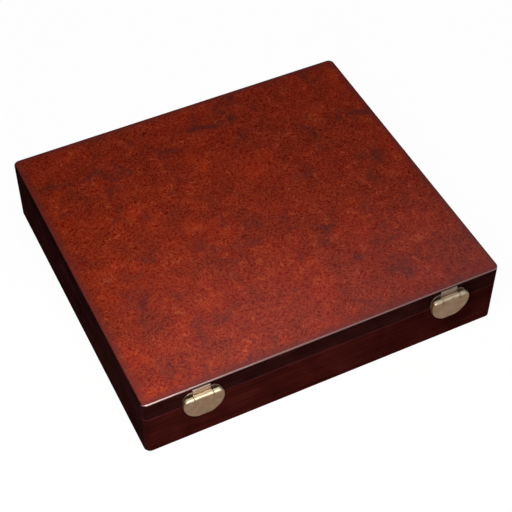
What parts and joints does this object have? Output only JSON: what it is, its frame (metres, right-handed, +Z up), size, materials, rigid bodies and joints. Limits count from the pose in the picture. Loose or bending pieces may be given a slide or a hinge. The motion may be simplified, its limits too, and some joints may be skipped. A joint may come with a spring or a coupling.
{
  "type": "wooden pastel box",
  "caption": "Shallow lidded wooden box for pastel sticks, with foam beds inside, a hinged lid and lever clasps in front.",
  "frame": {"origin": "centre of the underside of the base", "axes": "+X to the right along the front, +Y from the front with its clasps to the back with its hinges, +Z up through the lid"},
  "size_m": [0.3, 0.2866, 0.058],
  "materials": {
    "dark_lacquered_wood": "gloss lacquer",
    "lid_veneer": "gloss lacquer",
    "inside_wood": "satin",
    "clasp_nickel": "satin nickel plate",
    "steel": "bright",
    "hinge_brass": "satin",
    "grey_foam": "open-cell foam"
  },
  "bodies": {
    "base": {"base_front_wall": "dark_lacquered_wood", "base_back_wall": "dark_lacquered_wood", "base_left_wall": "dark_lacquered_wood", "base_right_wall": "dark_lacquered_wood", "bottom_panel": "inside_wood", "front_divider": "inside_wood", "rear_divider": "inside_wood", "front_foam_underlay": "grey_foam", "middle_foam_underlay": "grey_foam", "rear_foam_underlay": "grey_foam", "front_foam_bed": "grey_foam", "middle_foam_bed": "grey_foam", "rear_foam_bed": "grey_foam", "left_clasp_base_plate": "clasp_nickel", "right_clasp_base_plate": "clasp_nickel", "left_clasp_pin": "steel", "right_clasp_pin": "steel", "clasp_base_nails": "clasp_nickel", "left_hinge_base_leaf": "hinge_brass", "right_hinge_base_leaf": "hinge_brass", "left_hinge_pin": "hinge_brass", "right_hinge_pin": "hinge_brass", "base_hinge_screws": "hinge_brass"},
    "lid": {"lid_front_wall": "dark_lacquered_wood", "lid_back_wall": "dark_lacquered_wood", "lid_left_wall": "dark_lacquered_wood", "lid_right_wall": "dark_lacquered_wood", "lid_top_panel": "lid_veneer", "lid_foam_pad": "grey_foam", "left_strike_plate": "clasp_nickel", "right_strike_plate": "clasp_nickel", "strike_nails": "clasp_nickel", "left_hinge_lid_leaf": "hinge_brass", "right_hinge_lid_leaf": "hinge_brass", "lid_hinge_screws": "hinge_brass"},
    "left_lever": {"left_clasp_lever": "clasp_nickel"},
    "right_lever": {"right_clasp_lever": "clasp_nickel"}
  },
  "joints": [
    {"name": "lid_hinge", "type": "hinge", "parent": "base", "child": "lid", "pos_m": [0, 0.1406, 0.04], "axis": [-1, 0, 0], "range_deg": [0, 100]},
    {"name": "left_lever_pivot", "type": "hinge", "parent": "base", "child": "left_lever", "pos_m": [-0.104, -0.1413, 0.0309], "axis": [1, 0, 0], "range_deg": [0, 100]},
    {"name": "right_lever_pivot", "type": "hinge", "parent": "base", "child": "right_lever", "pos_m": [0.104, -0.1413, 0.0309], "axis": [1, 0, 0], "range_deg": [0, 100]}
  ]
}
